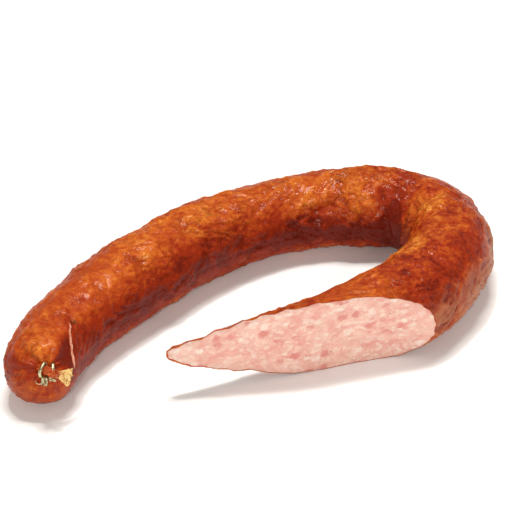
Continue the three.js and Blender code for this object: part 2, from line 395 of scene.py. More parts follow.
def crumple(*at):
    """The casing's wrinkles, in millimetres, and how far each place is on a crest, 0 to 1."""
    p = roll(*at)
    drift = wander(p, 15, 9, 11)
    q = p + 4.5 * drift
    fine_drift = wander(p, 6, 5, 21)
    coarse = crests(q, *COARSE)
    middle = crests(q + 1.6 * fine_drift, *MIDDLE)
    fine = crests(q + 1.8 * fine_drift, *FINE)
    oblique = crests(roll(*at, OBLIQUE_TWIST) + 3.0 * drift, *OBLIQUE)
    counter = crests(roll(*at, COUNTER_TWIST) + 3.0 * drift, *COUNTER)
    choice = smooth(gradient_noise(p / 34, 6) * 1.6 + 0.5)
    strength = wrinkling(*at)
    crest = 0.62 * coarse + 0.36 * middle + 0.1 * fine + 0.68 * mix(oblique, counter, choice)
    swell = 0.6 * gradient_noise(p / 17, 8) + 0.4 * gradient_noise(p / 8.5, 9)
    return strength * (crest - 0.5 + swell), np.clip(0.9 * crest * strength, 0, 1)


TIE_REACH = 21  # of the fine pleats, from the pole
TIE_BARE = 6  # up to here they grow
WIDE_PLEATS, NARROW_PLEATS = 19, 43  # all the way round
WRINKLES_FROM, WRINKLES_FADE = 4, 22  # where the wrinkles begin, and over what length they grow
UNDERSIDE_SHARE = 0.15  # of the wrinkles, on the underside


def pole_pleats(s, around, radius):
    """The fine pleats that run into the tie, and their crests."""
    from_pole = distance_from_pole(s, radius)
    turn = wrapped(around) / 360 + 0.5
    sway = 0.012 * lump_noise(from_pole / 7 + 3, turn, 9)
    wide = ridged(lump_noise(from_pole / 26 + 7, turn + sway, WIDE_PLEATS), 1.5)
    narrow = ridged(lump_noise(from_pole / 15 + 9, turn + sway, NARROW_PLEATS), 1.5)
    reach = bell(from_pole / TIE_REACH) * smooth(from_pole / TIE_BARE)
    ridge = 0.65 * wide + 0.35 * narrow
    return reach * (1.9 * ridge - 0.6), reach * (1.3 * ridge - 0.45)


def fine_relief(s, around, radius):
    at = s, around, radius
    wrinkles, crest = crumple(*at)
    pleats, pleat_crest = pole_pleats(*at)
    away = smooth((distance_from_pole(s, radius) - WRINKLES_FROM) / WRINKLES_FADE)
    out = wrinkles * away + pleats + folds_relief(*at)
    return out * mix(UNDERSIDE_SHARE, 1, off_underside(around)), crest * away + pleat_crest


FLAT_BY_CUT = 9.0  # how far behind the cut the wrinkles are flatter
SHARE_AT_CUT = 0.6  # of their height at the cut itself


def skin(s, around, inset=0.0, fine=True):
    """Points of the skin and its crests. inset is how far below its outside they lie."""
    radius, middle, forward, inside = centre(s)
    reach = radius + main_relief(s, around, radius) - inset
    out, up, side = direction(s, around, radius)
    way = inside * side[..., None] - forward * out[..., None]
    way[..., 2] += up
    p = middle + way * reach[..., None]
    crest = np.zeros_like(reach)
    if fine:
        more, crest = fine_relief(s, around, radius)
        more = more * mix(SHARE_AT_CUT, 1, smooth(-beyond_cut(p) / FLAT_BY_CUT))
        p += way * (more + edge_waves(p, around))[..., None]
    p[..., 2] = np.maximum(p[..., 2], inset)
    return p, crest


def pole_point(inset=0.0, fine=True):
    """The skin's place at the pole, as a list of one point."""
    return skin(np.array([-QUARTER]), np.array([0.0]), inset, fine)[0]


# -------- the knife's cut
# The cut's own directions: out of the meat, along the cut and up it.
LEVEL = math.cos(CUT_LEAN)
AWAY = np.array([math.cos(CUT_FACING) * LEVEL, math.sin(CUT_FACING) * LEVEL, math.sin(CUT_LEAN)])
ALONG = unit(np.cross([0, 0, 1], AWAY))
RISE = np.cross(AWAY, ALONG)
CUT_GRAIN, CUT_GRAIN_SIZE = 0.3, 7.0


def cut_offset(x, y):
    """How far the cut stands out from its plane at (along, rise)."""
    out = CUT_WAVE * (np.sin(x / 9) + np.sin(x / 17 + y / 11))
    out = out - HOLLOW_DEPTH * bell((x - HOLLOW_AT) / HOLLOW_WIDTH)
    out = out - TIP_DEPTH * smooth((TIP_AT - x) / TIP_WIDTH)
    p = np.stack([x / CUT_GRAIN_SIZE, y / CUT_GRAIN_SIZE, 0 * x], -1)
    return out + CUT_GRAIN * gradient_noise(p, 31)


def cut_coordinates(p):
    """How far along the cut, up it and out of its plane the points lie."""
    d = p - CUT_POINT
    return d @ ALONG, d @ RISE, d @ AWAY


def beyond_cut(p):
    x, y, z = cut_coordinates(p)
    return z - cut_offset(x, y)


WAVE_HEIGHT = 0.62
WAVE_LENGTH = 2.05  # for each radian of a wave
WAVES_BEHIND = 9  # how far behind the cut they reach
WAVES_FROM, WAVES_TO = -44, 40  # along the cut
WAVES_FACE = 30  # degrees round the tube from its top


def edge_waves(p, around):
    """The even waves that the upper edge of the cut runs in."""
    x, _, beyond = cut_coordinates(p)
    facing_up = smooth((np.cos(np.radians(around - WAVES_FACE)) - 0.25) / 0.4)
    ends = smooth((WAVES_TO - x) / 12) * smooth((x - WAVES_FROM) / 10)
    near = bell(beyond / WAVES_BEHIND) * ends
    return WAVE_HEIGHT * near * facing_up * np.sin(x / WAVE_LENGTH + 0.9 * np.sin(x / 8))


WALL = 0.45  # of the casing where the cut shows it
DEEPER = 2.2  # how much further in the casing's inside lies, away from the cut
DEEPER_SLOPE = 0.35
COLUMNS = 184
AROUND = np.arange(COLUMNS) * 360 / COLUMNS  # degrees round the tube, for each column
STRAIGHT_TO = 348.0  # up to here the rows stand square to the centre line; beyond it they slant
SEARCH_STEP = 0.5
# Rows of points on the dome, on the straight part and on the slanted part.
OUTER_ROWS = (26, 288, 130)
INNER_ROWS = (6, 40, 40)


def cut_stations(inset):
    """For each column, how far along it the cut is."""
    s = np.arange(STRAIGHT_TO, LENGTH + 0.01, SEARCH_STEP)
    p, _ = skin(s[:, None] + 0 * AROUND, AROUND + 0 * s[:, None], inset)
    g = beyond_cut(p)
    hit = np.argmax(g > 0, axis=0)
    if np.any(hit == 0):
        raise ValueError("the cut misses a column of the skin")
    cols = np.arange(COLUMNS)
    before, after = g[hit - 1, cols], g[hit, cols]
    return s[hit - 1] + SEARCH_STEP * before / (before - after)


def skin_grid(inset, dome_rows, tube_rows, slant_rows):
    """The cut skin as a grid of rows by columns, from just off the pole to the cut.

    inset is for the last row. A skin inside another lies further in the further it is behind the
    cut, because its wide spacing can't follow every wrinkle.
    """
    ends = cut_stations(inset)
    dome = -QUARTER * (1 - np.arange(1, dome_rows + 1) / dome_rows)
    tube = STRAIGHT_TO * np.arange(1, tube_rows + 1) / tube_rows
    straight = np.concatenate([dome, tube])[:, None] + 0 * AROUND
    t = np.arange(1, slant_rows + 1)[:, None] / slant_rows
    slanted = STRAIGHT_TO + (ends - STRAIGHT_TO) * t
    s = np.concatenate([straight, slanted])
    a = AROUND + 0 * s
    p, crest = skin(s, a, inset)
    if inset:
        deeper = np.clip(-DEEPER_SLOPE * beyond_cut(p), 0, DEEPER)
        deeper[-1] = 0
        p, crest = skin(s, a, inset + deeper)
    return s, a, p, crest


def inner_skin():
    return skin_grid(WALL, *INNER_ROWS)[2]


def grid_faces(rows, columns, first=0, flip=False):
    """The quads of a tube whose rows of points begin at number first."""
    r, c = np.meshgrid(np.arange(rows - 1), np.arange(columns), indexing="ij")
    n = (c + 1) % columns
    a, b = first + r * columns + c, first + r * columns + n
    quad = np.stack([a, b, b + columns, a + columns], -1).reshape(-1, 4)
    return (quad[:, ::-1] if flip else quad).tolist()


def fan_faces(tip, first, columns, flip=False):
    """The triangles from one point to a row of points."""
    faces = [(tip, first + (c + 1) % columns, first + c) for c in range(columns)]
    return [f[::-1] for f in faces] if flip else faces


def add_object(name, data):
    made = bpy.data.objects.new(name, data)
    bpy.context.scene.collection.objects.link(made)
    return made


def add_mesh(name, points, faces, material, attributes=None, smooth_angle=50):
    mesh = bpy.data.meshes.new(name)
    mesh.from_pydata((np.asarray(points) * MM).tolist(), [], faces)
    mesh.validate()
    for key, values in (attributes or {}).items():
        layer = mesh.attributes.new(key, "FLOAT", "POINT")
        layer.data.foreach_set("value", np.asarray(values, np.float32).ravel())
    mesh.shade_smooth()
    mesh.set_sharp_from_angle(angle=math.radians(smooth_angle))
    mesh.materials.append(material)
    return add_object(name, mesh)


# -------- materials
class Nodes:
    """Short ways to make the nodes of one material."""

    def __init__(self, name):
        self.material = bpy.data.materials.new(name)
        self.material.use_nodes = True
        self.tree = self.material.node_tree
        self.tree.nodes.clear()
        self.shader = self.node("BsdfPrincipled")
        self.node("OutputMaterial", {"Surface": self.shader.outputs["BSDF"]})
        self.position = self.node("TexCoord").outputs["Object"]

    def node(self, kind, inputs=None, **settings):
        made = self.tree.nodes.new("ShaderNode" + kind)
        for key, value in settings.items():
            setattr(made, key, value)
        for key, value in (inputs or {}).items():
            self.put(made.inputs[key], value)
        return made

    def put(self, socket, value):
        if isinstance(value, bpy.types.NodeSocket):
            self.tree.links.new(value, socket)
        else:
            socket.default_value = value

    def set(self, **values):
        for key, value in values.items():
            self.put(self.shader.inputs[key.replace("_", " ")], value)

    def math(self, operation, a, b=0.0, clamp=False):
        return self.node("Math", {0: a, 1: b}, operation=operation, use_clamp=clamp).outputs[0]

    def times(self, product, *factors):
        for factor in factors:
            product = self.math("MULTIPLY", product, factor)
        return product

    def sum(self, *terms, offset=0.0):
        """The sum of factor times value over the terms."""
        total = offset
        for factor, value in terms:
            inputs = {0: value, 1: factor, 2: total}
            total = self.node("Math", inputs, operation="MULTIPLY_ADD").outputs[0]
        return total

    def centred(self, value):
        return self.math("SUBTRACT", value, 0.5)

    def ramp(self, value, low, high, first=0.0, last=1.0):
        """A soft step from first, where the value is low, to last, where it is high."""
        inputs = {"Value": value, "From Min": low, "From Max": high, "To Min": first, "To Max": last}
        return self.node("MapRange", inputs, interpolation_type="SMOOTHSTEP").outputs["Result"]

    def blend(self, share, a, b):
        return self.node("Mix", {0: share, 6: a, 7: b}, data_type="RGBA").outputs[2]

    def attribute(self, name):
        return self.node("Attribute", attribute_name=name).outputs["Fac"]

    def moved(self, vector, offset):
        """Another place in the same pattern."""
        return self.node("VectorMath", {0: vector, 1: offset}, operation="ADD").outputs[0]

    def noise(self, size_mm, detail=3.0, rough=0.55, distortion=0.0, vector=None, output="Fac"):
        inputs = {"Vector": vector or self.position, "Scale": 1000 / size_mm, "Detail": detail}
        inputs.update({"Roughness": rough, "Distortion": distortion})
        return self.node("TexNoise", inputs).outputs[output]

    def warped(self, vector, size_mm, reach):
        """The vector shifted by noise, by up to reach metres."""
        noise = self.noise(size_mm, 3, 0.6, vector=vector, output="Color")
        inputs = {0: noise, 1: (reach,) * 3, 2: vector}
        return self.node("VectorMath", inputs, operation="MULTIPLY_ADD").outputs[0]

    def ridges(self, size_mm, sharp, vector=None):
        """1 along wandering lines, falling to 0 beside them."""
        off = self.math("ABSOLUTE", self.centred(self.noise(size_mm, 3, 0.55, 0.7, vector)))
        line = self.math("SUBTRACT", 1.0, self.times(off, sharp), clamp=True)
        return self.times(line, line)

    def cells(self, size_mm, vector):
        """Each place's distance from the middle of its cell, and the cell's random value."""
        made = self.node("TexVoronoi", {"Vector": vector, "Scale": 1000 / size_mm})
        split = self.node("SeparateColor", {0: made.outputs["Color"]})
        return made.outputs["Distance"], split.outputs[0]

    def spots(self, size_mm, vector, rare, reach):
        """Soft separate bits of about a cell's size, in the share 1 - rare of the cells."""
        distance, kind = self.cells(size_mm, vector)
        return self.times(self.ramp(kind, rare, rare + 0.16), self.ramp(distance, reach, reach * 0.32))

    def bump(self, height, distance_mm, strength=1.0):
        inputs = {"Strength": strength, "Distance": distance_mm * MM, "Height": height}
        return self.node("Bump", inputs).outputs["Normal"]


def rgb(r, g, b):
    """A colour given as a screen shows it, 0 to 255, as the linear values that nodes take."""
    return *(((v / 255 + 0.055) / 1.055) ** 2.4 if v > 10 else v / 3295 for v in (r, g, b)), 1.0


# The smoke's colours, which also paint the shade of the tone: the darkest, and for each next one the
# shade where it begins and is full.
DARKEST = rgb(112, 27, 8)
SMOKE_AND_SHADE = [
    (-1.1, -0.5, rgb(150, 44, 12)),
    (-0.45, 0.05, rgb(174, 70, 20)),
    (0.1, 0.6, rgb(198, 99, 32)),
    (0.65, 1.1, rgb(222, 136, 52)),
]
PAINTED_SHEEN = rgb(184, 112, 76)
CREASE_SHADE = rgb(104, 26, 6)


def casing_material():
    n = Nodes("smoked_casing")
    names = ("tone_and_shade", "crest", "pale", "wrinkled", "mottled")
    tone_and_shade, crest, pale, wrinkled, mottled = (n.attribute(name) for name in names)
    mottle = n.noise(17, 5, 0.6, 0.6)
    patch = n.noise(7.5, 4, 0.62, 0.9)
    speck = n.noise(2.4, 3, 0.6, 0.5)
    uneven = n.sum((1.7, n.centred(mottle)), (1.9, n.centred(patch)), (1.3, n.centred(speck)))
    # the mottling fades where the painted shade is darkest
    uneven = n.times(uneven, mottled, n.ramp(tone_and_shade, -0.9, -0.35, 0.4, 1.0))
    # painted shade and light: the wrinkles' valleys are darker and their crests lighter
    shade = n.sum((1, tone_and_shade), (1, uneven), (0.55, crest), offset=-0.2)
    colour = DARKEST
    for begins, full, ramp_colour in SMOKE_AND_SHADE:
        colour = n.blend(n.ramp(shade, begins, full), colour, ramp_colour)
    # painted sheen: the crests where PALE reaches turn pale tan
    painted_sheen = n.ramp(n.sum((1, pale), (0.3, speck)), 0.3, 1.1)
    colour = n.blend(painted_sheen, colour, PAINTED_SHEEN)
    folds = n.ridges(5.2, 6.0)
    creases = n.ridges(2.6, 6.0)
    lines = n.ridges(4.4, 12.0, n.moved(n.position, (0.03, 0.05, 0.02)))
    lines = n.times(lines, n.ramp(n.noise(13, 2, 0.5), 0.42, 0.6))
    amount = n.sum((0.7, wrinkled), offset=0.3)
    # painted shade: the colour darkens along the sunken lines
    crease_shade = n.times(lines, n.times(amount, 0.5))
    n.set(Base_Color=n.blend(crease_shade, colour, CREASE_SHADE))
    height = n.times(n.sum((0.9, folds), (0.3, creases), (-0.35, lines)), amount)
    height = n.sum((1, height), (0.22, n.noise(2.6, 3, 0.55, 0.5)), (0.05, n.noise(0.9, 3, 0.6)))
    n.set(Normal=n.bump(height, 0.4, 1.0))
    shine = n.sum((0.9, n.ridges(6.4, 5.0)), (0.7, n.noise(4.4, 1, 0.5, 0.6)))
    n.set(Coat_Normal=n.bump(n.times(shine, amount), 0.3, 0.6))
    wet = n.noise(9, 3, 0.55, 0.5)
    n.set(Roughness=n.sum((1, n.ramp(wet, 0.3, 0.7, 0.34, 0.5)), (0.15, pale)))
    n.set(Specular_IOR_Level=0.06, Coat_Weight=0.2, Coat_Roughness=0.13, Coat_IOR=1.5)
    n.set(Subsurface_Weight=0.06, Subsurface_Scale=0.0015, Subsurface_Radius=(1.0, 0.35, 0.15))
    return n.material


DEEP_MEAT, LIGHT_MEAT = rgb(231, 174, 160), rgb(241, 199, 184)
SWIRL = rgb(240, 205, 188)
PINK = rgb(229, 157, 147)
LEAN = rgb(216, 128, 120)
FAT = rgb(244, 227, 214)
GRAIN = rgb(214, 150, 138)
PEPPER = rgb(128, 76, 56)


def meat_material():
    n = Nodes("sausage_meat")
    # Along, across and out of the cut, so that the bits lie the way the meat was filled.
    face = {"Vector": n.position, "Rotation": (0, 0, CUT_FACING + math.pi / 2), "Scale": (1.3, 1.0, 1.0)}
    place = n.node("Mapping", face, vector_type="TEXTURE").outputs["Vector"]
    bent = n.warped(place, 7.0, 0.007)
    rough_place = n.warped(bent, 2.0, 0.0022)

    colour = n.blend(n.ramp(n.noise(9, 4, 0.6, 0.5, place), 0.35, 0.65), DEEP_MEAT, LIGHT_MEAT)
    swirl = n.ridges(3.4, 9.0, bent)
    colour = n.blend(n.times(swirl, 0.5), colour, SWIRL)
    pink = n.ramp(n.noise(8.5, 3, 0.5, 0.5, n.moved(bent, (0.07, 0.03, 0.04))), 0.47, 0.66)
    colour = n.blend(n.times(pink, 0.75), colour, PINK)
    lean = n.spots(6.2, n.moved(rough_place, (0.02, 0.09, 0.03)), 0.68, 0.55)
    colour = n.blend(n.times(lean, 0.8), colour, LEAN)
    crowd = n.ramp(n.noise(14, 2, 0.5, 0.0, n.moved(place, (0.05, 0.01, 0.02))), 0.35, 0.6, 0.5, 1)
    lumps = n.spots(4.3, n.moved(rough_place, (0.1, 0.02, 0.05)), 0.58, 0.72)
    bits = n.spots(2.3, n.moved(rough_place, (0.03, 0.07, 0.01)), 0.5, 0.72)
    fat = n.math("MAXIMUM", lumps, n.times(bits, 0.75))
    fat = n.times(fat, n.times(crowd, n.math("SUBTRACT", 1.0, lean)))
    colour = n.blend(fat, colour, FAT)
    grain = n.ramp(n.noise(1.5, 3, 0.65, vector=rough_place), 0.38, 0.62, 0.0, 0.3)
    colour = n.blend(grain, colour, GRAIN)
    away, kind = n.cells(5.4, n.moved(place, (0.02, 0.05, 0.09)))
    pepper = n.times(n.ramp(kind, 0.55, 0.56), n.ramp(away, 0.08, 0.045))
    n.set(Base_Color=n.blend(n.times(pepper, 0.8), colour, PEPPER))
    height = n.sum((0.7, n.noise(1.3, 3, 0.6, vector=rough_place)), (0.4, fat), (0.4, swirl))
    n.set(Normal=n.bump(height, 0.4, 0.7))
    n.set(Roughness=n.ramp(n.noise(4, 3, 0.6, vector=place), 0.3, 0.7, 0.4, 0.6))
    n.set(Specular_IOR_Level=0.35, Coat_Weight=0.06, Coat_Roughness=0.2)
    n.set(Subsurface_Weight=0.3, Subsurface_Scale=0.002, Subsurface_Radius=(1.0, 0.55, 0.4))
    return n.material


def wire_material():
    n = Nodes("clip_wire")
    streak = n.noise(1.4, 3, 0.6, 0.3)
    n.set(Base_Color=n.blend(n.ramp(streak, 0.35, 0.7), rgb(168, 158, 118), rgb(232, 224, 186)))
    n.set(Metallic=1.0, Roughness=n.ramp(streak, 0.3, 0.7, 0.24, 0.42))
    n.set(Normal=n.bump(n.noise(0.7, 2, 0.5), 0.06, 0.6))
    return n.material


def tail_material():
    n = Nodes("frayed_tail")
    share = n.attribute("share")
    streak = n.noise(1.1, 3, 0.65, 0.6)
    near = n.blend(n.ramp(streak, 0.35, 0.65), rgb(140, 42, 16), rgb(206, 98, 40))
    far = n.blend(n.ramp(streak, 0.38, 0.56), rgb(198, 130, 58), rgb(255, 228, 158))
    n.set(Base_Color=n.blend(n.ramp(n.sum((1, share), (0.2, streak)), 0.62, 0.8), near, far))
    n.set(Roughness=n.ramp(streak, 0.3, 0.7, 0.36, 0.6))
    n.set(Normal=n.bump(n.noise(0.6, 3, 0.6), 0.15, 0.8))
    n.set(Specular_IOR_Level=0.15, Coat_Weight=0.12, Coat_Roughness=0.16)
    return n.material


def scrap_material(name, first, second, roughness):
    """A dull scrap of casing, in two colours."""
    n = Nodes(name)
    n.set(Base_Color=n.blend(n.ramp(n.noise(1.2, 3, 0.6, 0.4), 0.35, 0.65), first, second))
    n.set(Roughness=n.ramp(n.noise(0.9, 2, 0.5), 0.3, 0.7, roughness, roughness + 0.15))
    n.set(Normal=n.bump(n.noise(0.7, 3, 0.6), 0.15, 0.7))
    n.set(Specular_IOR_Level=0.15, Coat_Weight=0.08, Coat_Roughness=0.16)
    return n.material


CASING = casing_material()
MEAT = meat_material()
WIRE = wire_material()
TAIL = tail_material()

# -------- the casing
# Brighter and darker areas of the smoke's colour, with painted shade and light: the sides, the
# underside, the facet by the pole and the recess at the turn are painted darker, and the tops lighter,
# as light from above would leave them. As for patches().
TONES_AND_SHADE = [
    (-12, 5, 12, 9, 0.45),
    (-20, 345, 10, 8, 0.3),
    (-14, 300, 14, 14, -0.5),
    # painted shade on the facet beside the pole
    (-7, 48, 14, 5.5, -1.1),
    (-10, 22, 14, 6, 0.3),
    # painted shade down the side that faces away from the light
    (30, 72, 45, 13, -0.45),
    (95, 66, 45, 11, -0.4),
    (150, 62, 50, 11, -0.4),
    (205, 72, 30, 10, -0.35),
    # painted shade along the underside
    (120, 98, 150, 10, -0.8),
    (235, 98, 50, 10, -1.0),
    # painted light on the top
    (60, 15, 70, 17, 0.25),
    (150, 8, 70, 16, 0.25),
    (200, 38, 18, 7, 0.5, -30),
    (212, 82, 18, 4, 0.35),
    (228, 36, 16, 13, 0.2),
    # painted shade in the recess on the inside of the turn
    (258, 72, 12, 26, -0.85),
    (310, 318, 45, 20, -0.3),
    (320, 345, 22, 9, -0.3),
    (350, 322, 22, 14, -0.35),
    (340, 10, 26, 12, 0.1),
    (370, 300, 18, 14, -0.4),
    (385, 352, 14, 10, -0.15),
    (425, 8, 45, 8, -0.1),
    (225, 66, 22, 9, 0.35),
    (330, 18, 30, 12, 0.25),
    (305, 28, 25, 12, 0.15),
    (395, 30, 30, 12, 0.1),
    (400, 60, 60, 10, 0.15),
]
# Where the crests get a pale painted sheen, as for patches().
PALE = [
    (300, 268, 70, 16, 0.6),
    (375, 250, 50, 18, 0.5),
    (150, 300, 140, 12, 0.3),
    (120, 112, 130, 7, 0.25),
    (395, 62, 30, 8, 0.3),
    (300, 310, 60, 10, 0.15),
    (280, 78, 22, 14, 0.3),
]
# Where the colours are more mottled than elsewhere, as for patches().
MOTTLED = [
    (350, 5, 50, 30, 0.9),
    (275, 350, 35, 24, 0.6),
]
RIM_TONE = 0.7  # of the casing's own thickness, at the cut
DEEPEST_SHADE = 1.2  # a deeper dent gets no darker
TIE_WALL = 1.0  # how much thicker the casing is at the pole


def skin_attributes(s, around, crest):
    """What the casing's material reads at each point."""
    at = s, around, centre(s)[0]
    made = {
        # The first value is the smoke's colour with the painted shade and light of the patches above,
        # and painted shade that darkens the dents and folds that go in.
        "tone_and_shade": patches(TONES_AND_SHADE, *at) + 0.4 * np.clip(folds_relief(*at), -DEEPEST_SHADE, 0),
        "crest": crest,
        # how strong the painted sheen is, stronger on the crests
        "pale": patches(PALE, *at) * (0.3 + 1.1 * crest),
        "wrinkled": wrinkling(*at),
        "mottled": 1 + patches(MOTTLED, *at),
    }
    return {name: values.ravel() for name, values in made.items()}


def build_casing():
    s, around, outer, crest = skin_grid(0.0, *OUTER_ROWS)
    inner = inner_skin()
    poles = [pole_point(), pole_point(WALL + TIE_WALL)]
    rows, inner_rows = len(outer), len(inner)
    points = np.concatenate([outer.reshape(-1, 3), inner.reshape(-1, 3), *poles])
    first_inner = rows * COLUMNS
    tip = first_inner + inner_rows * COLUMNS
    faces = grid_faces(rows, COLUMNS) + fan_faces(tip, 0, COLUMNS)
    faces += grid_faces(inner_rows, COLUMNS, first_inner, True)
    faces += fan_faces(tip + 1, first_inner, COLUMNS, True)
    last_outer, last_inner = first_inner - COLUMNS, tip - COLUMNS
    for c in range(COLUMNS):
        n = (c + 1) % COLUMNS
        faces.append((last_outer + c, last_outer + n, last_inner + n, last_inner + c))
    attributes = skin_attributes(s, around, crest)
    for name, values in attributes.items():
        rest = np.full(inner_rows * COLUMNS + 2, RIM_TONE if name == "tone_and_shade" else 0.0)
        attributes[name] = np.concatenate([values, rest])
    return add_mesh("sausage_casing", points, faces, CASING, attributes)


# -------- the meat
FACE_STEP = 0.6
FACE_ROWS = 0.87  # of the step, between rows of a grid of even triangles
FACE_MARGIN = 0.7  # of the step, along the rim
MEAT_PROUD = 0.25  # how far the meat stands out of the casing
# The face's relief: height, how many times smaller than the largest swells, and seed.
SWELLS = [(0.35, 1, 41), (0.16, 3.1, 42), (0.1, 6.7, 43)]


def meat_face(outline):
    """An even grid of triangles inside the outline, as flat points and their triangles."""
    (x0, y0), (x1, y1) = outline.min(axis=0), outline.max(axis=0)
    ys = np.arange(y0, y1, FACE_STEP * FACE_ROWS)
    gx, gy = np.meshgrid(np.arange(x0, x1, FACE_STEP), ys, indexing="ij")
    gx = gx + (np.arange(len(ys)) % 2) * FACE_STEP / 2
    inner = np.stack([gx.ravel(), gy.ravel()], -1)
    inner = inner[inside_outline(inner, outline, FACE_STEP * FACE_MARGIN)]
    spots = [Vector(p) for p in (*outline, *inner)]
    ring = [(i, (i + 1) % COLUMNS) for i in range(COLUMNS)]
    found, _, triangles, _, _, _ = delaunay_2d_cdt(spots, ring, [], 1, 1e-5)
    if len(found) != len(spots):
        raise ValueError("the meat's face has points that meet")
    return np.array([v[:] for v in found]), triangles


def build_meat():
    side = inner_skin()
    rows = len(side)
    outline = np.stack(cut_coordinates(side[-1])[:2], -1)
    flat, triangles = meat_face(outline)
    x, y = flat.T
    edge = distance_to_outline(flat, outline)
    p = np.stack([x / 11, y / 8, 0 * x], -1)
    swell = sum(height * gradient_noise(p * smaller, seed) for height, smaller, seed in SWELLS)
    height = cut_offset(x, y) + smooth(edge / 0.9) * MEAT_PROUD + smooth(edge / 2.2) * swell
    face = CUT_POINT + flat[:, :1] * ALONG + flat[:, 1:] * RISE + height[:, None] * AWAY
    first = (rows - 1) * COLUMNS
    points = np.concatenate([side.reshape(-1, 3)[:first], face, pole_point(WALL + TIE_WALL)])
    faces = grid_faces(rows, COLUMNS) + fan_faces(len(points) - 1, 0, COLUMNS)
    faces += [tuple(first + i for i in t) for t in outward(triangles, face)]
    return add_mesh("sausage_meat", points, faces, MEAT, None, 60)


def outward(triangles, points):
    """The triangles turned so that they face out of the cut."""
    t = np.array(triangles)
    a, b, c = (points[t[:, k]] for k in range(3))
    wrong = np.cross(b - a, c - a) @ AWAY < 0
    t[wrong] = t[wrong][:, ::-1]
    return t.tolist()


def distance_to_outline(p, outline):
    best = np.full(len(p), np.inf)
    for a, b in zip(outline, np.roll(outline, -1, axis=0)):
        d = b - a
        t = np.clip(((p - a) @ d) / (d @ d), 0, 1)
        best = np.minimum(best, np.hypot(*(p - a - t[:, None] * d).T))
    return best


def inside_outline(p, outline, margin):
    x, y = p.T
    within = np.zeros(len(p), bool)
    for (ax, ay), (bx, by) in zip(outline, np.roll(outline, -1, axis=0)):
        crosses = (ay > y) != (by > y)
        at = ax + (y - ay) * (bx - ax) / (by - ay if by != ay else 1e-9)
        within ^= crosses & (x < at)
    return within & (distance_to_outline(p, outline) > margin)


# -------- the tied end
def pole_frame():
    """The pole, and the ways out of it, to its right and up."""
    tip = pole_point(fine=False)[0]
    out = unit(tip - centre(np.array([0.0]))[1][0])
    side = square_to(out, np.array([1.0, 0, 0]))
    return tip, out, side, np.cross(out, side)


POLE, POLE_OUT, POLE_SIDE, POLE_UP = pole_frame()


class Path:
    """A smooth curve through points, read by its share of the length."""

    def __init__(self, spots):
        spots = np.asarray(spots, float)
        before, after = 2 * spots[0] - spots[1], 2 * spots[-1] - spots[-2]
        self.spots = np.array([before, *spots, after])
        self.dense = np.array([self.raw(t) for t in np.linspace(0, 1, 400)])
        steps = np.linalg.norm(np.diff(self.dense, axis=0), axis=1)
        self.run = np.concatenate([[0], np.cumsum(steps)])
        self.run /= self.run[-1]

    def raw(self, t):
        last = len(self.spots) - 4
        i = min(int(t * (last + 1)), last)
        w = t * (last + 1) - i
        p = self.spots[i : i + 4]
        dt = [max(np.linalg.norm(p[k + 1] - p[k]) ** 0.5, 1e-4) for k in range(3)]
        m1 = (p[1] - p[0]) / dt[0] - (p[2] - p[0]) / (dt[0] + dt[1]) + (p[2] - p[1]) / dt[1]
        m2 = (p[2] - p[1]) / dt[1] - (p[3] - p[1]) / (dt[1] + dt[2]) + (p[3] - p[2]) / dt[2]
        m1, m2 = m1 * dt[1], m2 * dt[1]
        c2 = -3 * p[1] + 3 * p[2] - 2 * m1 - m2
        c3 = 2 * p[1] - 2 * p[2] + m1 + m2
        return p[1] + m1 * w + c2 * w * w + c3 * w**3

    def point(self, share):
        return np.array([np.interp(share, self.run, self.dense[:, k]) for k in range(3)]).T

    def tangent(self, share):
        return unit(self.point(min(share + 0.004, 1)) - self.point(max(share - 0.004, 0)))


def pole_path(spots):
    """A path through places that lie so far out of the pole, to its right and up."""
    return Path([POLE + POLE_OUT * out + POLE_SIDE * side + POLE_UP * up for out, side, up in spots])


NECK_LINE = pole_path(NECK)


def tube_mesh(name, rows, ends, material, attributes=None):
    """A closed solid from rings of points and the two points that end it."""
    count, columns = rows.shape[:2]
    points = np.concatenate([rows.reshape(-1, 3), ends])
    last = count * columns
    faces = grid_faces(count, columns) + fan_faces(last, 0, columns)
    faces += fan_faces(last + 1, (count - 1) * columns, columns, True)
    return add_mesh(name, points, faces, material, attributes)


def oval(angles, wide, tall):
    return np.stack([wide * np.cos(angles), tall * np.sin(angles)], -1)


def swept(name, path, shares, section, side, material, attributes=None):
    """A solid along a path. section(share) gives a ring's places to the side and across."""
    rows = []
    for share in shares:
        forward = path.tangent(share)
        side = square_to(forward, side)
        ring = section(share)
        rows.append(path.point(share) + ring[:, :1] * side + ring[:, 1:] * np.cross(forward, side))
    return tube_mesh(name, np.array(rows), path.point(shares[[0, -1]]), material, attributes)


NECK_END = 0.88  # of the neck's line, where the ribbed part stops
PUFF_AT = 0.345  # between the clips


def build_neck():
    """The gathered casing between the pole and the frayed end, ribbed and twisted."""
    shares = np.linspace(0, NECK_END, 80)
    angles = circle(44)

    def section(share):
        spread = float(smooth((share - FRAY_FROM) / (1 - FRAY_FROM)))
        flare = 1 + 0.6 * bell(share / 0.13)
        puff = 1 + 0.2 * bell((share - PUFF_AT) / 0.05)
        size = NECK_RADIUS * flare * puff
        wide = mix(size, 0.9 * FRAY_HALF_WIDTH, spread)
        thick = mix(size, FRAY_HALF_THICKNESS, spread)
        ribs = 0.16 * np.cos(7 * angles + 9 * share) + 0.1 * np.cos(13 * angles - 14 * share + 1)
        wrinkle = 1 + ribs * mix(1, 1.6, spread)
        return oval(angles, wide * wrinkle, thick * wrinkle)

    share = np.concatenate([np.repeat(shares, len(angles)), shares[[0, -1]]])
    return swept("tied_neck", NECK_LINE, shares, section, POLE_UP, TAIL, {"share": share})


